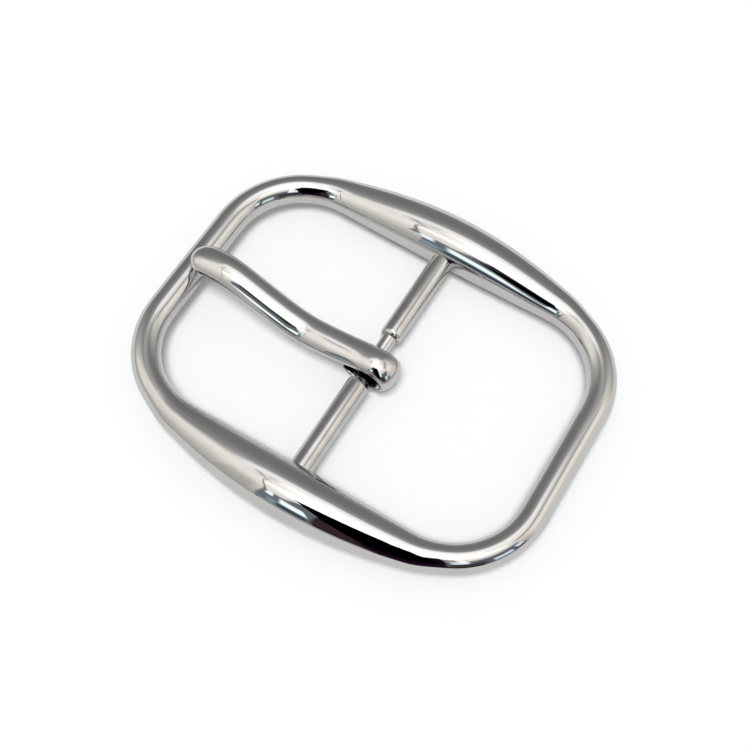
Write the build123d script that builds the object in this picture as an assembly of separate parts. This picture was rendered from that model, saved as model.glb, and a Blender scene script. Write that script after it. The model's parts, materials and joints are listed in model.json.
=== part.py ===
from build123d import *
from math import cos, pi, radians, sin
import os

# A centre-bar belt buckle. Millimetres. X runs along the belt, Y along the bar, +Z is the face side.
# The origin is under the middle of the buckle, on the surface it lies on.

# Ring
window_length = 58.4          # clear opening along the belt
window_width = 40.0           # clear opening across the belt, for a strap of about 38
window_corner_radius = 10.9   # plan radius of the opening's corners
side_bow = 0.2                # how far the opening's long edges lean in at the middle
end_bar_diameter = 4.45       # the round end bars
side_width = 8.3              # the swollen long sides, seen from above, at the middle
side_height = 7.42            # the same, bottom to top
width_swell_reach = 22.4      # from the middle to where the sides start to widen
width_swell_power = 0.59      # below 1 the swelling starts quickly and stays broad
height_swell_reach = 21.0     # from the middle to where the sides start to deepen
height_swell_power = 0.755

# Centre bar, its ends held in the sides
bar_diameter = 3.45
bar_drop = 0.25               # the bar's axis below the ring's mid-plane
bar_socket_depth = 3.0        # how far each end reaches into a side
neck_diameter = 2.3           # the turned-down neck that carries the prong
neck_length = 8.7
neck_offset = 0.35            # the neck's middle from the middle of the bar
shoulder_round = 0.42         # rounding of the shoulders at both ends of the neck
neck_root_fillet = 0.1

# Prong
prong_shift = -1.1            # the prong's mid-line from the middle of the bar
prong_lean = 0.76             # how much nearer to the bar's +Y end the tip is than the root
prong_tip_half_width = 2.42
prong_root_half_width = 2.24
crown_ratio = 0.63            # height of the rounded face over the half width
belly_ratio = 0.47            # depth of the flatter underside over the half width
nose_overhang = 0.0           # the nose past the end bar's axis
nose_plan_power = 2.05        # 2 is round, more is squarer
nose_side_power = 2.6
tip_clearance = 0.08          # underside of the nose to the top of the end bar
eye_clearance = 0.06          # neck to the inside of the eye, at the closest
nose_rise = 0.24              # the centre line above its seat, where the nose's rounding starts
nose_drop = 0.5               # how far the nose bends down towards its end
crest_setback = 5.4           # from the nose to the highest point of the prong
crest_height = 3.78           # the prong's centre line at the crest, above the mid-plane
slope_x = 18.5                # a point half way down from the crest
slope_height = 1.81
dip_x = 10.5                  # the lowest point between the crest and the bar
dip_height = 0.1
rise_x = 5.0                  # a point half way up from the dip to the bar
rise_height = 0.78
knuckle_half_width = 2.45     # the widest part of the curled root
knuckle_reach = 3.55          # the centre line of the curl past the bar's axis
lip_half_width = 1.6          # the thinned end of the curl
lip_thickness = 0.62
lip_gap = 0.7                 # neck to the lip that passes under it
lip_reach = 4.3               # how far the lip comes back past the bar's axis
lip_end_height = -0.45        # the end of the lip, just under the prong

# Worked out from the values above
mid_plane = side_height / 2
end_bar_radius = end_bar_diameter / 2
half_length = window_length / 2
half_width = window_width / 2
bar_radius = bar_diameter / 2
neck_radius = neck_diameter / 2
bar_axis = mid_plane - bar_drop
bar_length = window_width + 2 * bar_socket_depth
end_bar_axis_x = half_length + end_bar_radius


def smooth(value):
    value = min(max(value, 0.0), 1.0)
    return value * value * (3 - 2 * value)


def swell(x, reach, power):
    """0 at the end bars, 1 at the middle of a long side."""
    return smooth(max(1 - abs(x) / reach, 0.0) ** power)


def oval(half_w, above, below):
    """A smooth closed section: two half ellipses that share their width."""
    count = 16
    angles = [2 * pi * step / count for step in range(count)]
    heights = [above if step < count / 2 else below for step in range(count)]
    points = [(half_w * cos(a), height * sin(a)) for a, height in zip(angles, heights)]
    return make_face(Spline(*points, periodic=True))


def ring_section(x, y, outward):
    """The ring's oval section, standing on the opening's edge at x, y."""
    edge_y = y - side_bow * (1 - (x / half_length) ** 2) * (y / half_width) ** 2
    widening = swell(x, width_swell_reach, width_swell_power)
    deepening = swell(x, height_swell_reach, height_swell_power)
    half_w = end_bar_radius + (side_width / 2 - end_bar_radius) * widening
    half_h = end_bar_radius + (side_height / 2 - end_bar_radius) * deepening
    middle = Vector(x, edge_y, mid_plane) + outward * half_w
    plane = Plane(origin=middle, x_dir=outward, z_dir=Vector(0, 0, 1).cross(outward))
    return plane * oval(half_w, half_h, half_h)


def quarter_stations():
    """Edge points and outward directions from the middle of an end bar to the middle of a side."""
    corner_x = half_length - window_corner_radius
    corner_y = half_width - window_corner_radius
    bar_steps = 4
    corner_steps = 8
    side_steps = 8
    stations = [(half_length, corner_y * step / bar_steps, Vector(1, 0, 0)) for step in range(bar_steps)]
    for step in range(corner_steps + 1):
        angle = radians(90 * step / corner_steps)
        outward = Vector(cos(angle), sin(angle), 0)
        edge = Vector(corner_x, corner_y, 0) + outward * window_corner_radius
        stations.append((edge.X, edge.Y, outward))
    for step in range(1, side_steps + 1):
        stations.append((corner_x * (1 - step / side_steps), half_width, Vector(0, 1, 0)))
    return stations


def make_frame():
    quarter = quarter_stations()
    mirrored = [(-x, y, Vector(-out.X, out.Y, 0)) for x, y, out in reversed(quarter[:-1])]
    half_ring = loft([ring_section(x, y, out) for x, y, out in quarter + mirrored])
    ring = half_ring + half_ring.mirror(Plane.XZ)
    sockets = Pos(0, 0, bar_axis) * Rot(90, 0, 0) * Cylinder(bar_radius, bar_length)
    return ring - sockets


def make_centre_bar():
    half = bar_length / 2
    neck_low = neck_offset - neck_length / 2
    neck_high = neck_offset + neck_length / 2
    step = bar_radius - neck_radius
    outer_round = min(shoulder_round, 0.75 * step)
    inner_fillet = min(neck_root_fillet, 0.2 * step)
    surface = FilletPolyline(
        (bar_radius, -half),
        (bar_radius, neck_low),
        (neck_radius, neck_low),
        (neck_radius, neck_high),
        (bar_radius, neck_high),
        (bar_radius, half),
        radius=[outer_round, inner_fillet, inner_fillet, outer_round],
    )
    core = Polyline((bar_radius, half), (0, half), (0, -half), (bar_radius, -half))
    profile = make_face(Curve() + [surface, core])
    return Pos(0, 0, bar_axis) * revolve(profile, Axis.Y)


def prong_centre_line():
    """The prong's middle in side view, from where the nose's rounding starts to the end of the lip."""
    nose_x = -(end_bar_axis_x + nose_overhang)
    seat_z = end_bar_radius + tip_clearance + belly_ratio * prong_tip_half_width
    root_z = neck_radius + eye_clearance + belly_ratio * prong_root_half_width - bar_drop
    under_z = -(bar_drop + neck_radius + lip_gap + lip_thickness / 2)
    points = [
        (nose_x + prong_tip_half_width, seat_z + nose_rise),
        (nose_x + crest_setback, crest_height),
        (-slope_x, slope_height),
        (-dip_x, dip_height),
        (-rise_x, rise_height),
        (-1.0, root_z - 0.2),
        (1.6, root_z + 0.2),
        (knuckle_reach, 0.6),
        (knuckle_reach - 1.2, -1.35),
        (0.0, under_z),
        (-0.66 * lip_reach, under_z + 0.1),
        (-lip_reach, lip_end_height),
    ]
    return Spline(*[(x, 0, mid_plane + z) for x, z in points])


def side_shift(x):
    """The prong's mid-line at x, which leans a little from the bar to the tip."""
    return Vector(0, prong_shift + prong_lean * max(-x, 0) / end_bar_axis_x, 0)


def prong_plane(line, distance):
    """A plane square to the prong's centre line, its own Y pointing out of the rounded face."""
    place = line.position_at(distance, position_mode=PositionMode.LENGTH)
    along = line.tangent_at(distance, position_mode=PositionMode.LENGTH)
    return Plane(origin=place + side_shift(place.X), x_dir=(0, 1, 0), z_dir=along)


def mix(start, end, share):
    return start + (end - start) * share


def curl_section(share):
    """Half width, crown and belly around the curl: share 0 over the bar, 1 at the end of the lip."""
    knuckle = smooth(1 - abs(share - 0.35) / 0.35)
    thinning = smooth((share - 0.25) / 0.4)
    half_w = mix(prong_root_half_width, knuckle_half_width, knuckle)
    half_w = mix(half_w, lip_half_width, smooth((share - 0.5) / 0.4))
    crown = mix(crown_ratio * prong_root_half_width, lip_thickness / 2, thinning)
    belly = mix(belly_ratio * prong_root_half_width, lip_thickness / 2, thinning)
    return half_w, crown, belly


def nose_sections(line):
    """The end of the prong, rounded in plan and a little blunter in side view."""
    place = line.position_at(0)
    along = line.tangent_at(0)
    sections = []
    for angle in (78, 66, 52, 36, 18):
        share = sin(radians(angle))
        half_w = prong_tip_half_width * (1 - share ** nose_plan_power) ** (1 / nose_plan_power)
        height = prong_tip_half_width * (1 - share ** nose_side_power) ** (1 / nose_side_power)
        middle = place - along * (prong_tip_half_width * share) - Vector(0, 0, nose_drop * share ** 2)
        plane = Plane(origin=middle + side_shift(middle.X), x_dir=(0, 1, 0), z_dir=along)
        sections.append(plane * oval(half_w, crown_ratio * height, belly_ratio * height))
    return sections


def make_prong():
    line = prong_centre_line()
    root_at = end_bar_axis_x - prong_tip_half_width
    body_steps = 14
    curl_steps = 14
    sections = nose_sections(line)
    for step in range(body_steps):
        half_w = mix(prong_tip_half_width, prong_root_half_width, step / body_steps)
        section = oval(half_w, crown_ratio * half_w, belly_ratio * half_w)
        sections.append(prong_plane(line, root_at * step / body_steps) * section)
    for step in range(curl_steps + 1):
        share = step / curl_steps
        plane = prong_plane(line, mix(root_at, line.length, share))
        sections.append(plane * oval(*curl_section(share)))
    return loft(sections)


os.makedirs("parts", exist_ok=True)
export_step(make_frame(), "parts/frame.step")
export_step(make_centre_bar(), "parts/centre_bar.step")
export_step(make_prong(), "parts/prong.step")
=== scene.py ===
import json
from math import cos, pi, radians, sin, tan

import bmesh
import bpy
from mathutils import Matrix, Vector

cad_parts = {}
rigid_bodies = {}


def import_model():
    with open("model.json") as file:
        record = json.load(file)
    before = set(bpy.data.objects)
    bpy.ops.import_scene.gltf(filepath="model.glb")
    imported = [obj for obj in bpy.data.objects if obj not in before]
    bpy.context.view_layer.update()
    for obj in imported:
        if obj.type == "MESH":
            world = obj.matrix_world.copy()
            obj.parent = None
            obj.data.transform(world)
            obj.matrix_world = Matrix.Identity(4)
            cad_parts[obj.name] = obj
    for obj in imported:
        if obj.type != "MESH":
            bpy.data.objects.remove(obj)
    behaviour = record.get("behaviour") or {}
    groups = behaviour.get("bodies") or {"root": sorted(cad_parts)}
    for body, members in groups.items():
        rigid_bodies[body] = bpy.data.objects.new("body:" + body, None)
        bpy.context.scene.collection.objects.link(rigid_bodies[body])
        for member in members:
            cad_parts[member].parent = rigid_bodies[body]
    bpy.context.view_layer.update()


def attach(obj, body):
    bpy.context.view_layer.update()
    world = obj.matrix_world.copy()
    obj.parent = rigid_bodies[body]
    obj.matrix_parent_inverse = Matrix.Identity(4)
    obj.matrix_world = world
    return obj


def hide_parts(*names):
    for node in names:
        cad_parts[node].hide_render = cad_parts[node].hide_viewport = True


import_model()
mm = 0.001
mergeDistance = 1e-6
print("frame loaded")


def clearSelection():
    for other in bpy.context.view_layer.objects:
        other.select_set(False)


def startMesh(name):
    clearSelection()
    piece = bpy.data.objects.new(name, bpy.data.meshes.new(name))
    bpy.context.scene.collection.objects.link(piece)
    bpy.context.view_layer.objects.active = piece
    piece.select_set(True)
    bpy.ops.object.mode_set(mode="EDIT")
    bpy.ops.mesh.select_mode(type="VERT")
    return piece


def selectVerts(piece, wanted):
    bpy.ops.mesh.select_all(action="DESELECT")
    mesh = bmesh.from_edit_mesh(piece.data)
    mesh.verts.ensure_lookup_table()
    for vert in mesh.verts:
        vert.select = wanted(vert)
    mesh.select_flush_mode()
    bmesh.update_edit_mesh(piece.data)


def countVerts(piece):
    return len(bmesh.from_edit_mesh(piece.data).verts)


def resizeSelected(value):
    bpy.ops.transform.resize(value=value, center_override=(0, 0, 0))


def turnSelected(angle, axis):
    # with no window the operator turns the other way
    if angle:
        bpy.ops.transform.rotate(value=-angle, orient_axis=axis, center_override=(0, 0, 0))


def addSection(piece, corners, place, halfWidth, above, below, roll=0, pitch=0, yaw=0):
    # one closed section, made flat at the origin, then shaped, turned and moved to its place
    grow = 3 / (2 + cos(2 * pi / corners))      # subdivision draws a section in by this much
    bpy.ops.mesh.select_all(action="DESELECT")
    bpy.ops.mesh.primitive_circle_add(vertices=corners, radius=1, rotation=(0, pi / 2, 0))
    resizeSelected((1, halfWidth * grow, above * grow))
    if below != above:
        first = countVerts(piece) - corners
        underside = -1e-7
        selectVerts(piece, lambda vert: vert.index >= first and vert.co.z < underside)
        resizeSelected((1, 1, below / above))
        selectVerts(piece, lambda vert: vert.index >= first)
    turnSelected(roll, "X")
    turnSelected(pitch, "Y")
    turnSelected(yaw, "Z")
    bpy.ops.transform.translate(value=place)


def bridgeLast(piece, corners):
    first = countVerts(piece) - 2 * corners
    selectVerts(piece, lambda vert: vert.index >= first)
    bpy.ops.mesh.bridge_edge_loops()


def startLine(place):
    # one loose vertex, to be drawn out into a line
    bpy.ops.mesh.primitive_plane_add(size=mm)
    bpy.ops.mesh.merge(type="CENTER")
    bpy.ops.transform.translate(value=place)


def drawOut(move):
    bpy.ops.mesh.extrude_region_move(TRANSFORM_OT_translate={"value": move})


def quarterTurn(steps):
    return [pi / 2 * step / steps for step in range(steps + 1)]


def closeMesh():
    bpy.ops.mesh.select_all(action="SELECT")
    bpy.ops.mesh.remove_doubles(threshold=mergeDistance)
    bpy.ops.mesh.normals_make_consistent(inside=False)
    bpy.ops.object.mode_set(mode="OBJECT")


def smoothMesh(piece, levels):
    closeMesh()
    subdivide = piece.modifiers.new("smooth", "SUBSURF")
    subdivide.levels = levels
    subdivide.render_levels = levels
    bpy.ops.object.modifier_apply(modifier=subdivide.name)
    bpy.ops.object.shade_smooth()


ring = {
    "halfLength": 29.2, "halfWidth": 20.0, "cornerRadius": 10.9, "sideBow": 0.2,
    "endBarRadius": 2.225, "sideHalfWidth": 4.15, "sideHalfHeight": 3.71,
    "widthReach": 22.4, "widthPower": 0.59, "heightReach": 21.0, "heightPower": 0.755,
    "middleHeight": 3.71, "corners": 24, "barSteps": 5, "cornerSteps": 14, "sideSteps": 16,
    "mirrorMerge": 1e-5, "subdivisions": 2,
}


def easeInOut(value):
    value = min(max(value, 0.0), 1.0)
    return value * value * (3 - 2 * value)


def swelling(x, reach, power):
    return easeInOut(max(1 - abs(x) / reach, 0.0) ** power)


def ringStations():
    # edge point of the opening and the way out of it, from an end bar's middle to a side's middle
    radius, barSteps, sideSteps = ring["cornerRadius"], ring["barSteps"], ring["sideSteps"]
    cornerX = ring["halfLength"] - radius
    cornerY = ring["halfWidth"] - radius
    stations = []
    for step in range(barSteps):
        stations.append((ring["halfLength"], cornerY * step / barSteps, 0.0))
    for angle in quarterTurn(ring["cornerSteps"]):
        stations.append((cornerX + radius * cos(angle), cornerY + radius * sin(angle), angle))
    for step in range(1, sideSteps + 1):
        stations.append((cornerX * (1 - step / sideSteps), ring["halfWidth"], pi / 2))
    return stations


def makeRing():
    piece = startMesh("ring")
    thin = ring["endBarRadius"]
    for number, (x, y, angle) in enumerate(ringStations()):
        bow = ring["sideBow"] * (1 - (x / ring["halfLength"]) ** 2) * (y / ring["halfWidth"]) ** 2
        wide = swelling(x, ring["widthReach"], ring["widthPower"])
        deep = swelling(x, ring["heightReach"], ring["heightPower"])
        halfWidth = thin + (ring["sideHalfWidth"] - thin) * wide
        halfHeight = (thin + (ring["sideHalfHeight"] - thin) * deep) * mm
        place = Vector((x + halfWidth * cos(angle), y - bow + halfWidth * sin(angle),
                        ring["middleHeight"])) * mm
        addSection(piece, ring["corners"], place, halfWidth * mm, halfHeight, halfHeight,
                   yaw=angle + pi / 2)
        if number:
            bridgeLast(piece, ring["corners"])
    bpy.ops.object.mode_set(mode="OBJECT")
    mirror = piece.modifiers.new("other quarters", "MIRROR")
    mirror.use_axis = (True, True, False)
    mirror.merge_threshold = ring["mirrorMerge"]
    bpy.ops.object.modifier_apply(modifier=mirror.name)
    bpy.ops.object.mode_set(mode="EDIT")
    smoothMesh(piece, ring["subdivisions"])
    return piece


bar = {
    "radius": 1.725, "axisHeight": 3.46, "halfLength": 23.0,
    "neckRadius": 1.15, "neckFrom": -4.0, "neckTo": 4.45,
    "shoulderDepth": 0.53, "shoulderLength": 0.90, "shoulderSteps": 8,
    "rootFillet": 0.04, "rootSteps": 4, "spinSteps": 96, "sharpAngle": 35,
}


def barProfile():
    # radius and place along the bar, from one end to the other
    shoulder = []
    for angle in quarterTurn(bar["shoulderSteps"]):
        shoulder.append((bar["radius"] - bar["shoulderDepth"] * (1 - cos(angle)),
                         bar["shoulderLength"] * (1 - sin(angle))))
    for angle in quarterTurn(bar["rootSteps"]):
        shoulder.append((bar["neckRadius"] + bar["rootFillet"] * (1 - sin(angle)),
                         -bar["rootFillet"] * (1 - cos(angle))))
    points = [(0, -bar["halfLength"]), (bar["radius"], -bar["halfLength"])]
    points += [(radius, bar["neckFrom"] - away) for radius, away in shoulder]
    points += [(radius, bar["neckTo"] + away) for radius, away in reversed(shoulder)]
    points += [(bar["radius"], bar["halfLength"]), (0, bar["halfLength"])]
    return points


def makeBar():
    piece = startMesh("bar")
    points = [Vector((radius, along, bar["axisHeight"])) * mm for radius, along in barProfile()]
    startLine(points[0])
    for start, end in zip(points, points[1:]):
        drawOut(end - start)
    bpy.ops.mesh.select_all(action="SELECT")
    bpy.ops.mesh.spin(steps=bar["spinSteps"], angle=2 * pi,
                      center=(0, 0, bar["axisHeight"] * mm), axis=(0, 1, 0))
    closeMesh()
    bpy.ops.object.shade_smooth_by_angle(angle=radians(bar["sharpAngle"]))
    return piece


# each row: x, y, z, slope in degrees, half width, height of the crown, depth of the belly
prong = {
    "corners": 32, "subdivisions": 2, "tailInset": 0.12,
    "lean": 7.0, "leanFrom": -29, "leanGrows": 3, "leanTo": -2, "leanFades": 6,
    "nose": [
        (-31.30, -0.34, 6.53, 28.0, 0.44, 0.44, 0.33),
        (-31.20, -0.34, 6.61, 26.0, 0.94, 0.79, 0.59),
        (-30.94, -0.35, 6.76, 23.0, 1.45, 1.10, 0.82),
        (-30.48, -0.36, 6.97, 19.0, 1.93, 1.34, 1.00),
        (-29.82, -0.35, 7.20, 14.0, 2.34, 1.49, 1.11),
        (-29.01, -0.33, 7.30, 5.0, 2.50, 1.55, 1.14),
    ],
    "blade": [
        (-27.81, -0.29, 7.34, 1.0, 2.51, 1.62, 1.18),
        (-26.41, -0.31, 7.34, -0.5, 2.50, 1.68, 1.18),
        (-25.60, -0.34, 7.33, -1.8, 2.50, 1.70, 1.17),
        (-24.82, -0.39, 7.28, -4.8, 2.49, 1.69, 1.17),
        (-23.90, -0.46, 7.19, -7.8, 2.48, 1.69, 1.17),
        (-23.00, -0.53, 7.05, -9.7, 2.48, 1.68, 1.16),
        (-21.10, -0.70, 6.71, -10.6, 2.46, 1.68, 1.16),
        (-19.20, -0.89, 6.35, -10.8, 2.45, 1.67, 1.15),
        (-17.30, -1.08, 5.99, -10.8, 2.44, 1.66, 1.15),
        (-15.40, -1.24, 5.63, -10.7, 2.42, 1.65, 1.14),
        (-13.50, -1.35, 5.28, -10.0, 2.41, 1.64, 1.13),
        (-12.50, -1.39, 5.11, -8.8, 2.40, 1.63, 1.13),
        (-11.50, -1.41, 4.99, -5.4, 2.40, 1.63, 1.13),
        (-10.50, -1.43, 4.94, 0.4, 2.39, 1.62, 1.12),
        (-9.50, -1.44, 4.97, 3.0, 2.38, 1.62, 1.12),
        (-7.50, -1.42, 5.09, 3.8, 2.37, 1.61, 1.11),
        (-5.50, -1.34, 5.22, 4.1, 2.35, 1.57, 1.11),
        (-3.60, -1.23, 5.37, 5.4, 2.34, 1.52, 1.10),
        (-1.85, -1.11, 5.54, 7.8, 2.33, 1.47, 1.09),
        (-0.70, -1.06, 5.70, 11.0, 2.32, 1.44, 1.09),
    ],
    "curl": [
        (0.22, -1.10, 5.89, 12.4, 2.26, 1.41, 1.05),
        (1.17, -1.10, 5.98, -3.1, 2.30, 1.41, 1.05),
        (2.10, -1.10, 5.77, -21.9, 2.36, 1.41, 1.05),
        (2.93, -1.10, 5.28, -39.5, 2.41, 1.41, 1.05),
        (3.50, -1.10, 4.53, -70.8, 2.44, 1.34, 1.00),
        (3.41, -1.10, 3.60, -115.1, 2.45, 1.16, 0.88),
        (2.86, -1.10, 2.82, -133.6, 2.42, 0.91, 0.72),
        (2.13, -1.10, 2.20, -144.4, 2.37, 0.66, 0.55),
        (1.30, -1.10, 1.72, -155.4, 2.27, 0.45, 0.40),
        (0.40, -1.10, 1.40, -165.0, 2.11, 0.32, 0.32),
        (-0.54, -1.09, 1.20, -172.0, 1.95, 0.31, 0.31),
        (-1.49, -1.06, 1.14, 179.1, 1.80, 0.31, 0.31),
        (-2.44, -1.04, 1.26, 165.1, 1.68, 0.31, 0.31),
        (-3.31, -1.02, 1.67, 143.8, 1.61, 0.31, 0.31),
        (-3.94, -1.00, 2.37, 121.0, 1.60, 0.31, 0.31),
        (-4.30, -1.00, 3.26, 103.9, 1.60, 0.31, 0.31),
    ],
}


def bladeLean(x):
    # the blade leans a little to its near side, and stands upright again at both ends
    grown = (x - prong["leanFrom"]) / prong["leanGrows"]
    left = (prong["leanTo"] - x) / prong["leanFades"]
    return radians(prong["lean"]) * max(0, min(1, grown, left))


def makeProng():
    piece = startMesh("prong_piece")
    corners = prong["corners"]
    straight = prong["nose"] + prong["blade"]
    rows = straight + prong["curl"]
    for number, (x, y, z, slope, halfWidth, crown, belly) in enumerate(rows):
        roll = bladeLean(x) if number < len(straight) else 0
        addSection(piece, corners, Vector((x, y, z)) * mm, halfWidth * mm, crown * mm, belly * mm,
                   roll=roll, pitch=-radians(slope))
        if number:
            bridgeLast(piece, corners)
    count = countVerts(piece)
    selectVerts(piece, lambda vert: vert.index < corners)
    bpy.ops.mesh.edge_face_add()
    bpy.ops.mesh.poke()
    selectVerts(piece, lambda vert: count - corners <= vert.index < count)
    bpy.ops.mesh.edge_face_add()
    bpy.ops.mesh.inset(thickness=prong["tailInset"] * mm)
    smoothMesh(piece, prong["subdivisions"])
    return piece


ringPiece = makeRing()
print("ring made")
barPiece = makeBar()
print("bar made")
prongPiece = makeProng()
print("prong made")

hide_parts("frame")
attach(ringPiece, "frame")
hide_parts("centre_bar")
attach(barPiece, "frame")
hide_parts("prong")
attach(prongPiece, "prong")


cameraView = {
    "target": (1.363, -1.94, 3.71), "distance": 184.18, "azimuth": 28.252, "elevation": 63.35,
    "roll": 3.209, "lens": 60.46, "sensor": 36, "nearClip": 0.01,
}


def makeCamera():
    azimuth, elevation, roll = (
        radians(cameraView[key]) for key in ("azimuth", "elevation", "roll"))
    forward = Vector((-sin(azimuth) * cos(elevation), cos(azimuth) * cos(elevation),
                      -sin(elevation)))
    right = Vector((cos(azimuth), sin(azimuth), 0))
    up = right.cross(forward)
    across = right * cos(roll) + up * sin(roll)
    upright = up * cos(roll) - right * sin(roll)
    place = (Vector(cameraView["target"]) - forward * cameraView["distance"]) * mm
    camera = bpy.data.objects.new("camera", bpy.data.cameras.new("camera"))
    camera.data.lens = cameraView["lens"]
    camera.data.sensor_width = cameraView["sensor"]
    camera.data.clip_start = cameraView["nearClip"]
    turned = Matrix((across, upright, -forward)).transposed().to_4x4()
    camera.matrix_world = Matrix.Translation(place) @ turned
    bpy.context.scene.collection.objects.link(camera)
    bpy.context.scene.camera = camera


makeCamera()

studio = {
    "domeLight": 0.47, "domeColour": (0.965, 1.0, 1.05),
    "overheadLight": 1.89, "overheadSpread": 21.0, "overheadTilt": (16.5, 15.0),
    "floorColour": (0.975, 0.97, 0.955), "floorMirrored": (0.765, 0.755, 0.74),
    "floorSize": 3, "floorRoughness": 0.9,
}

# What the metal mirrors: a light tent with its open side to the front, where the room shows.
# Turn is in degrees from the front, height in degrees above the floor.
tent = {
    "front": -60.0,
    "wallHeights": (0, 10, 24, 40, 50, 59, 66, 73, 84),
    "wallLight": (0.47, 0.56, 0.66, 0.84, 1.04, 1.16, 1.12, 1.22, 1.55),
    "backFrom": 104, "backTo": 146,
    "backHeights": (0, 10, 24, 44, 56, 62, 68, 80),
    "backLight": (0.33, 0.26, 0.225, 0.25, 0.34, 0.48, 1.22, 1.55),
    "wallWarmth": (1.035, 1.0, 0.94), "backWarmth": (1.005, 0.995, 0.995),
    # the open side's left edge leans back with height:
    # turn = edge + slope * height + bend * height ** power
    "edge": -47.0, "edgeSlope": -0.10, "edgeBend": -3.1e-10, "edgePower": 6,
}

# Each later patch lies over the ones before it: sides (left, right, softness),
# ends (low, high, softness), colour.
patches = {
    "front ceiling": ((-76, 74, 8), (63, 120, 5), (1.75, 1.75, 1.73)),
    "seam of the ceiling": ((-126, -90, 6), (69.6, 71.8, 1.3), (0.62, 0.62, 0.60)),
    "seam behind it": ((-146, -108, 8), (72.5, 75, 1.6), (0.90, 0.90, 0.88)),
    "left wall's bright part": ((-112, -84, 8), (18, 53, 9), (1.05, 1.0, 0.94)),
    "gap over the right panel": ((68, 120, 5), (51, 61, 4), (0.50, 0.49, 0.465)),
    "right panel": ((68, 104, 5), (-9, 49, 3), (0.85, 0.81, 0.75)),
    "right panel's upper part": ((71, 101, 6), (26, 47, 9), (1.16, 1.11, 1.03)),
    "opening, right part": ((-6, 62, 1.5), (-2, 46, 8), (0.15, 0.16, 0.18)),
    "opening, upper left part": ((-46, 6, 2.5), (8, 60, 4), (0.175, 0.20, 0.22)),
    "dark of the room": ((-32.5, 1.2, 0.9), (7, 66, 2), (0.012, 0.004, 0.014)),
    "dark over the left window": ((-43, -30, 1.5), (57.5, 66.5, 2), (0.012, 0.006, 0.014)),
    "dark red of the room": ((-32.5, -21, 1.5), (11, 45, 4), (0.047, 0.028, 0.038)),
    "wall over the window": ((1.5, 9, 1), (45, 60, 3), (0.46, 0.45, 0.47)),
    "window middle": ((4, 18, 2), (30, 46, 3), (1.0, 1.18, 1.28)),
    "bright strip": ((10.5, 17.5, 2.5), (36, 60, 5), (1.45, 1.5, 1.5)),
    "grey under it": ((2, 30, 3), (12, 27, 4), (0.060, 0.044, 0.056)),
    "dark at its foot": ((-20, 28, 2), (-9, 11, 5), (0.022, 0.014, 0.018)),
    "window right": ((36, 51.5, 1.5), (9, 27, 3), (0.78, 0.98, 1.02)),
    "pillar": ((52, 55, 0.8), (0, 34, 3), (0.12, 0.15, 0.19)),
    "window far right": ((55.5, 61.5, 1), (16, 34, 4), (0.95, 1.08, 1.15)),
}

# These lie over all of them, with sides counted from the open side's leaning left edge.
edgePatches = {
    "opening, lower left part": ((0, 13, 0.4), (8, 47, 2.5), (0.19, 0.235, 0.26)),
    "small window": ((1.0, 3.9, 0.5), (35, 47, 2), (1.25, 1.42, 1.5)),
    "window left": ((6.6, 15.6, 0.7), (26, 41, 3), (1.35, 1.50, 1.55)),
    "teal under it": ((2.8, 7.4, 0.8), (11, 25, 3), (0.34, 0.43, 0.47)),
    "dark under it": ((5.6, 14.5, 0.8), (10, 22, 2.5), (0.07, 0.085, 0.12)),
    "frame of the opening": ((-0.8, 0.4, 0.35), (-5, 71.5, 1.5), (0.27, 0.27, 0.28)),
}


def link(tree, start, end):
    tree.links.new(start, end)


def calc(tree, operation, *values):
    node = tree.nodes.new("ShaderNodeMath")
    node.operation = operation
    for socket, value in zip(node.inputs, values):
        if isinstance(value, (int, float)):
            socket.default_value = value
        else:
            link(tree, value, socket)
    return node.outputs[0]


def ramp(tree, value, start, end):
    # 0 at start, 1 at end, eased at both
    node = tree.nodes.new("ShaderNodeMapRange")
    node.interpolation_type = "SMOOTHSTEP"
    link(tree, value, node.inputs["Value"])
    node.inputs["From Min"].default_value = start
    node.inputs["From Max"].default_value = end
    return node.outputs["Result"]


def fade(tree, value, start, end):
    # 1 at start, 0 at end
    return calc(tree, "SUBTRACT", 1.0, ramp(tree, value, start, end))


def within(tree, value, span):
    # 1 between low and high, 0 outside, eased over twice the softness at both ends
    low, high, soft = span
    return calc(tree, "MULTIPLY", ramp(tree, value, low - soft, low + soft),
                fade(tree, value, high - soft, high + soft))


def steps(tree, value, places, lights, warmth, reach=90.0):
    # a smooth run of greys; a colour ramp holds 0 to 1 only, so places and lights are scaled
    top = max(lights)
    node = tree.nodes.new("ShaderNodeValToRGB")
    node.color_ramp.interpolation = "EASE"
    while len(node.color_ramp.elements) < len(places):
        node.color_ramp.elements.new(0.5)
    for element, place, light in zip(node.color_ramp.elements, places, lights):
        element.position = place / reach
        element.color = (light / top, light / top, light / top, 1)
    link(tree, calc(tree, "DIVIDE", value, reach), node.inputs["Fac"])
    warm = tree.nodes.new("ShaderNodeVectorMath")
    warm.operation = "MULTIPLY"
    link(tree, node.outputs["Color"], warm.inputs[0])
    warm.inputs[1].default_value = tuple(top * channel for channel in warmth)
    return warm.outputs[0]


def blendColours(tree, share, under, over):
    node = tree.nodes.new("ShaderNodeMix")
    node.data_type = "RGBA"
    link(tree, share, node.inputs["Factor"])
    for socket, value in ((node.inputs[6], under), (node.inputs[7], over)):
        if isinstance(value, tuple):
            socket.default_value = (*value, 1)
        else:
            link(tree, value, socket)
    return node.outputs[2]


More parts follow.
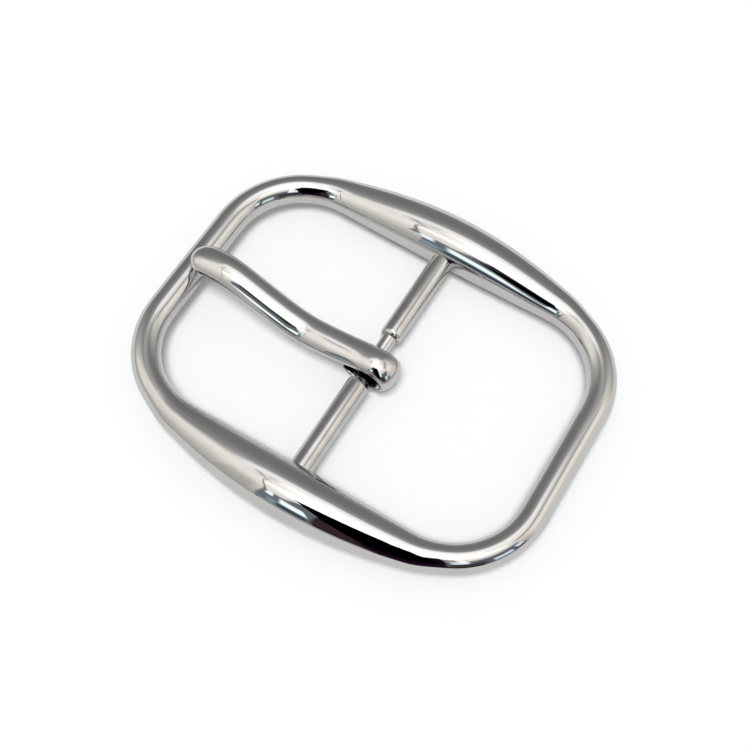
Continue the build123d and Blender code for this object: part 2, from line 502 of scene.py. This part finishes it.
def directionAngles(tree):
    # turn from the tent's front and height above the floor, both in degrees
    direction = tree.nodes.new("ShaderNodeSeparateXYZ")
    link(tree, tree.nodes.new("ShaderNodeTexCoord").outputs["Generated"], direction.inputs[0])
    x, y, z = direction.outputs
    front = radians(tent["front"])
    ahead = calc(tree, "ADD", calc(tree, "MULTIPLY", x, cos(front)),
                 calc(tree, "MULTIPLY", y, sin(front)))
    aside = calc(tree, "SUBTRACT", calc(tree, "MULTIPLY", y, cos(front)),
                 calc(tree, "MULTIPLY", x, sin(front)))
    turn = calc(tree, "DEGREES", calc(tree, "ARCTAN2", aside, ahead))
    return turn, calc(tree, "DEGREES", calc(tree, "ARCSINE", z))


def fromLeaningEdge(tree, turn, height):
    above = calc(tree, "MAXIMUM", height, 0.0)
    bend = calc(tree, "MULTIPLY", calc(tree, "POWER", above, tent["edgePower"]), tent["edgeBend"])
    lean = calc(tree, "MULTIPLY", height, tent["edgeSlope"])
    edge = calc(tree, "ADD", calc(tree, "ADD", lean, bend), tent["edge"])
    return calc(tree, "SUBTRACT", turn, edge)


def makeTent():
    world = bpy.data.worlds.new("studio")
    bpy.context.scene.world = world
    world.use_nodes = True
    tree = world.node_tree
    turn, height = directionAngles(tree)
    walls = steps(tree, height, tent["wallHeights"], tent["wallLight"], tent["wallWarmth"])
    back = steps(tree, height, tent["backHeights"], tent["backLight"], tent["backWarmth"])
    behind = ramp(tree, calc(tree, "ABSOLUTE", turn), tent["backFrom"], tent["backTo"])
    colour = blendColours(tree, behind, walls, back)
    for across, group in ((turn, patches), (fromLeaningEdge(tree, turn, height), edgePatches)):
        for sides, ends, light in group.values():
            share = calc(tree, "MULTIPLY", within(tree, across, sides), within(tree, height, ends))
            colour = blendColours(tree, share, colour, light)
    # paper and other dull things are lit by an even dome instead
    mirrored = tree.nodes.new("ShaderNodeLightPath").outputs["Is Glossy Ray"]
    dome = tuple(channel * studio["domeLight"] for channel in studio["domeColour"])
    seen = blendColours(tree, mirrored, dome, colour)
    link(tree, seen, tree.nodes["Background"].inputs["Color"])


def makeOverheadLight():
    # the softbox overhead stands a little to the front, which keeps the shade on the floor narrow
    name = "overhead softbox"
    overhead = bpy.data.objects.new(name, bpy.data.lights.new(name, "SUN"))
    overhead.data.energy = studio["overheadLight"]
    overhead.data.angle = radians(studio["overheadSpread"])
    overhead.visible_glossy = False
    lean, turn = studio["overheadTilt"]
    overhead.rotation_euler = (radians(lean), 0, radians(turn))
    bpy.context.scene.collection.objects.link(overhead)


makeTent()
makeOverheadLight()


def showToMetalOnly(piece):
    piece.visible_camera = False
    piece.visible_diffuse = False
    piece.visible_shadow = False


cameraCard = {"left": -70, "right": 5, "low": -150, "high": 17, "behind": 5}


def makeCameraCard():
    # the dark body of the camera
    left, right, low, high = (cameraCard[key] * mm for key in ("left", "right", "low", "high"))
    middle = ((left + right) / 2, (low + high) / 2, cameraCard["behind"] * mm)
    clearSelection()
    bpy.ops.mesh.primitive_plane_add(size=1, location=middle)
    card = bpy.context.object
    card.name = "camera_card"
    card.scale = (right - left, high - low, 1)
    bpy.ops.object.transform_apply(location=True, rotation=True, scale=True)
    card.data.transform(bpy.context.scene.camera.matrix_world)
    dark = bpy.data.materials.new("camera black")
    dark.use_nodes = True
    shader = dark.node_tree.nodes["Principled BSDF"]
    shader.inputs["Base Color"].default_value = (0, 0, 0, 1)
    shader.inputs["Specular IOR Level"].default_value = 0
    card.data.materials.append(dark)
    showToMetalOnly(card)


makeCameraCard()

# The near edge of the tent's left wall stands close, so each side of the buckle sees it elsewhere.
wallEdge = {
    "seenFrom": (-10, -27, 6), "away": 105, "turnWide": 14.5,
    "heights": (2, 12, 20, 28, 34, 40, 45, 50),
    "light": (0.47, 0.51, 0.54, 0.58, 0.63, 0.69, 0.77, 0.90), "warmth": (1.03, 1.0, 0.945),
}


def wallEdgePoints():
    points = []
    for height in wallEdge["heights"]:
        bend = tent["edgeBend"] * height ** tent["edgePower"]
        direction = radians(tent["edge"] + tent["edgeSlope"] * height + bend + tent["front"])
        away = Vector((cos(direction), sin(direction), tan(radians(height)))) * wallEdge["away"]
        points.append((Vector(wallEdge["seenFrom"]) + away) * mm)
    return points


def makeTentCloth(places):
    # glows by itself, brighter with height
    material = bpy.data.materials.new("tent cloth")
    material.use_nodes = True
    tree = material.node_tree
    shader = tree.nodes["Principled BSDF"]
    shader.inputs["Base Color"].default_value = (0, 0, 0, 1)
    shader.inputs["Roughness"].default_value = 1
    shader.inputs["Emission Strength"].default_value = 1
    parts = tree.nodes.new("ShaderNodeSeparateXYZ")
    link(tree, tree.nodes.new("ShaderNodeTexCoord").outputs["Object"], parts.inputs[0])
    height = calc(tree, "DIVIDE", parts.outputs[2], mm)
    glow = steps(tree, height, places, wallEdge["light"], wallEdge["warmth"], places[-1])
    link(tree, glow, shader.inputs["Emission Color"])
    return material


def makeWallEdge():
    piece = startMesh("wall_edge")
    points = wallEdgePoints()
    direction = radians(tent["edge"] + tent["front"])
    width = wallEdge["away"] * radians(wallEdge["turnWide"]) * mm
    startLine(points[0])
    drawOut(Vector((sin(direction), -cos(direction), 0)) * width)
    bpy.ops.mesh.select_all(action="SELECT")
    for start, end in zip(points, points[1:]):
        drawOut(end - start)
    bpy.ops.object.mode_set(mode="OBJECT")
    piece.data.materials.append(makeTentCloth([point.z / mm for point in points]))
    showToMetalOnly(piece)


makeWallEdge()


def makeFloor():
    clearSelection()
    bpy.ops.mesh.primitive_plane_add(size=studio["floorSize"])
    floor = bpy.context.object
    floor.name = "floor"
    paper = bpy.data.materials.new("white paper")
    paper.use_nodes = True
    tree = paper.node_tree
    shader = tree.nodes["Principled BSDF"]
    # the metal sees less of the floor than the eye does, because the object stands in its own shade
    mirrored = tree.nodes.new("ShaderNodeLightPath").outputs["Is Glossy Ray"]
    seen = blendColours(tree, mirrored, studio["floorColour"], studio["floorMirrored"])
    link(tree, seen, shader.inputs["Base Color"])
    shader.inputs["Roughness"].default_value = studio["floorRoughness"]
    shader.inputs["Specular IOR Level"].default_value = 0
    floor.data.materials.append(paper)


makeFloor()
bpy.context.scene.view_settings.view_transform = "Standard"
print("studio ready")


def startGroup(name, inputs, outputs):
    group = bpy.data.node_groups.new(name, "ShaderNodeTree")
    for socketName, kind in inputs:
        group.interface.new_socket(name=socketName, in_out="INPUT",
                                   socket_type="NodeSocket" + kind)
    for socketName, kind in outputs:
        group.interface.new_socket(name=socketName, in_out="OUTPUT",
                                   socket_type="NodeSocket" + kind)
    given = group.nodes.new("NodeGroupInput").outputs
    return group, given, group.nodes.new("NodeGroupOutput").inputs


def noise(tree, place, scale, detail):
    node = tree.nodes.new("ShaderNodeTexNoise")
    link(tree, place, node.inputs["Vector"])
    if isinstance(scale, (int, float)):
        node.inputs["Scale"].default_value = scale
    else:
        link(tree, scale, node.inputs["Scale"])
    node.inputs["Detail"].default_value = detail
    return node.outputs["Fac"]


def stretched(tree, place, amounts):
    node = tree.nodes.new("ShaderNodeMapping")
    link(tree, place, node.inputs["Vector"])
    node.inputs["Scale"].default_value = amounts
    return node.outputs["Vector"]


polish = {
    "rippleDetail": 1.0, "grainDetail": 3.0, "grainHeight": 0.10, "grainHaze": 0.25,
    "rubScale": 0.55, "rubDetail": 4.0, "rubRange": (0.46, 0.72), "rubShare": 0.6,
    "hairStretch": (0.5, 1.0, 3.0), "hairScale": 4.0, "hairDetail": 2.0,
    "hairRange": (0.52, 0.74), "hairShare": 0.4,
}


def makePolishGroup():
    # faint ripple of a cast and tumbled surface, fine grain of the plating, and soft rub marks
    tree, given, out = startGroup(
        "tumbled polish",
        [("Place", "Vector"), ("Ripple Size", "Float"), ("Grain Size", "Float"),
         ("Rub Marks", "Float")],
        [("Height", "Float"), ("Haze", "Float")])
    place = given["Place"]
    rippleScale = calc(tree, "DIVIDE", 1.0, given["Ripple Size"])
    grainScale = calc(tree, "DIVIDE", 1.0, given["Grain Size"])
    ripple = noise(tree, place, rippleScale, polish["rippleDetail"])
    grain = noise(tree, place, grainScale, polish["grainDetail"])
    grainHeight = calc(tree, "MULTIPLY", grain, polish["grainHeight"])
    link(tree, calc(tree, "ADD", ripple, grainHeight), out["Height"])
    rubs = noise(tree, place, polish["rubScale"], polish["rubDetail"])
    drawn = stretched(tree, place, polish["hairStretch"])
    hairs = noise(tree, drawn, polish["hairScale"], polish["hairDetail"])
    rubs = calc(tree, "MULTIPLY", ramp(tree, rubs, *polish["rubRange"]), polish["rubShare"])
    hairs = calc(tree, "MULTIPLY", ramp(tree, hairs, *polish["hairRange"]), polish["hairShare"])
    haze = calc(tree, "MULTIPLY", calc(tree, "ADD", rubs, hairs), given["Rub Marks"])
    grainHaze = calc(tree, "MULTIPLY", grain, polish["grainHaze"])
    link(tree, calc(tree, "ADD", haze, grainHaze), out["Haze"])
    return tree


tarnish = {"detail": 3.0, "range": (0.42, 0.70)}


def makeTarnishGroup():
    # a slightly warmer, greyer film that comes and goes over the plating
    tree, given, out = startGroup(
        "thin tarnish",
        [("Place", "Vector"), ("Patch Size", "Float"), ("Clean", "Color"), ("Tarnished", "Color")],
        [("Colour", "Color"), ("Mask", "Float")])
    scale = calc(tree, "DIVIDE", 1.0, given["Patch Size"])
    mask = ramp(tree, noise(tree, given["Place"], scale, tarnish["detail"]), *tarnish["range"])
    link(tree, mask, out["Mask"])
    link(tree, blendColours(tree, mask, given["Clean"], given["Tarnished"]), out["Colour"])
    return tree


hollow = {
    "speckleScale": 5.0, "speckleDetail": 3.0, "speckle": 0.12, "rimSoft": 0.14, "reachSoft": 0.35,
}


def makeHollowShadeGroup():
    # painted shade inside the eye: everything nearer the bar's axis than the rim turns near-black
    # and rougher, partly unpolished plating and partly painted shade for the deep hollow
    tree, given, out = startGroup(
        "dull hollow",
        [("Place", "Vector"), ("Axis Height", "Float"), ("Rim", "Float"), ("Middle", "Float"),
         ("Reach", "Float"), ("Polished", "Color"), ("Dull And Shaded", "Color")],
        [("Colour", "Color"), ("Mask", "Float")])
    parts = tree.nodes.new("ShaderNodeSeparateXYZ")
    link(tree, given["Place"], parts.inputs[0])
    x, y, z = parts.outputs
    up = calc(tree, "SUBTRACT", z, given["Axis Height"])
    squares = calc(tree, "ADD", calc(tree, "POWER", x, 2.0), calc(tree, "POWER", up, 2.0))
    speckles = noise(tree, given["Place"], hollow["speckleScale"], hollow["speckleDetail"])
    away = calc(tree, "ADD", calc(tree, "SQRT", squares),
                calc(tree, "MULTIPLY", speckles, hollow["speckle"]))
    along = calc(tree, "ABSOLUTE", calc(tree, "SUBTRACT", y, given["Middle"]))
    shares = []
    for limit, value, soft in ((given["Rim"], away, hollow["rimSoft"]),
                               (given["Reach"], along, hollow["reachSoft"])):
        shares.append(ramp(tree, calc(tree, "SUBTRACT", limit, value), -soft, soft))
    mask = calc(tree, "MULTIPLY", *shares)
    link(tree, mask, out["Mask"])
    link(tree, blendColours(tree, mask, given["Polished"], given["Dull And Shaded"]), out["Colour"])
    return tree


polishGroup = makePolishGroup()
tarnishGroup = makeTarnishGroup()
hollowShadeGroup = makeHollowShadeGroup()

# sizes in millimetres; roughness at the least and at the most haze
finishes = {
    "ring": {
        "clean": (0.664, 0.657, 0.650), "tarnished": (0.628, 0.618, 0.606),
        "rippleSize": 3.2, "ripple": 0.0035, "grainSize": 0.16, "rubMarks": 0.8, "patchSize": 6.0,
        "roughness": (0.015, 0.052),
    },
    "bar": {
        "clean": (0.655, 0.648, 0.640), "tarnished": (0.590, 0.578, 0.562),
        "rippleSize": 1.8, "ripple": 0.0022, "grainSize": 0.12, "rubMarks": 1.0, "patchSize": 3.0,
        "roughness": (0.030, 0.085),
        # rim, middle, reach and the near-black colour darken the neck inside the eye: partly
        # unpolished plating, partly painted shade
        "rim": 1.62, "middle": -1.2, "reach": 2.6, "dullAndShaded": (0.022, 0.020, 0.022),
    },
    "prong": {
        "clean": (0.666, 0.659, 0.652), "tarnished": (0.630, 0.620, 0.608),
        "rippleSize": 2.4, "ripple": 0.0028, "grainSize": 0.14, "rubMarks": 0.7, "patchSize": 4.5,
        "roughness": (0.015, 0.050),
        # rim, middle, reach and the near-black colour darken the eye's inner faces: partly
        # unpolished plating, partly painted shade
        "rim": 2.07, "middle": 0.0, "reach": 9.0, "dullAndShaded": (0.018, 0.016, 0.018),
    },
}
haze = {"polish": 0.8, "tarnish": 0.2, "hollow": 0.25}


def placeGroup(tree, group, links, values):
    node = tree.nodes.new("ShaderNodeGroup")
    node.node_tree = group
    for name, start in links.items():
        link(tree, start, node.inputs[name])
    for name, value in values.items():
        node.inputs[name].default_value = value
    return node.outputs


def makeNickel(name):
    finish = finishes[name]
    material = bpy.data.materials.new("polished nickel, " + name)
    material.use_nodes = True
    tree = material.node_tree
    shader = tree.nodes["Principled BSDF"]
    shader.inputs["Metallic"].default_value = 1.0
    # patterns are counted in millimetres
    place = stretched(tree, tree.nodes.new("ShaderNodeTexCoord").outputs["Object"],
                      (1000, 1000, 1000))
    polished = placeGroup(tree, polishGroup, {"Place": place}, {
        "Ripple Size": finish["rippleSize"], "Grain Size": finish["grainSize"],
        "Rub Marks": finish["rubMarks"]})
    tarnished = placeGroup(tree, tarnishGroup, {"Place": place}, {
        "Patch Size": finish["patchSize"],
        "Clean": (*finish["clean"], 1), "Tarnished": (*finish["tarnished"], 1)})
    colour = tarnished["Colour"]
    hazy = calc(tree, "ADD", calc(tree, "MULTIPLY", polished["Haze"], haze["polish"]),
                calc(tree, "MULTIPLY", tarnished["Mask"], haze["tarnish"]))
    low, high = finish["roughness"]
    roughness = calc(tree, "ADD", low, calc(tree, "MULTIPLY", hazy, high - low))
    # painted shade in the eye's hollow, over partly unpolished plating
    if "rim" in finish:
        shadedHollow = placeGroup(tree, hollowShadeGroup, {"Place": place, "Polished": colour}, {
            "Axis Height": bar["axisHeight"], "Rim": finish["rim"], "Middle": finish["middle"],
            "Reach": finish["reach"], "Dull And Shaded": (*finish["dullAndShaded"], 1)})
        colour = shadedHollow["Colour"]
        rougher = calc(tree, "MULTIPLY", shadedHollow["Mask"], haze["hollow"])
        roughness = calc(tree, "ADD", roughness, rougher)
    link(tree, colour, shader.inputs["Base Color"])
    link(tree, roughness, shader.inputs["Roughness"])
    bump = tree.nodes.new("ShaderNodeBump")
    bump.inputs["Strength"].default_value = 1.0
    bump.inputs["Distance"].default_value = finish["ripple"] * mm
    link(tree, polished["Height"], bump.inputs["Height"])
    link(tree, bump.outputs["Normal"], shader.inputs["Normal"])
    return material


for name, piece in (("ring", ringPiece), ("bar", barPiece), ("prong", prongPiece)):
    piece.data.materials.append(makeNickel(name))
print("nickel ready")
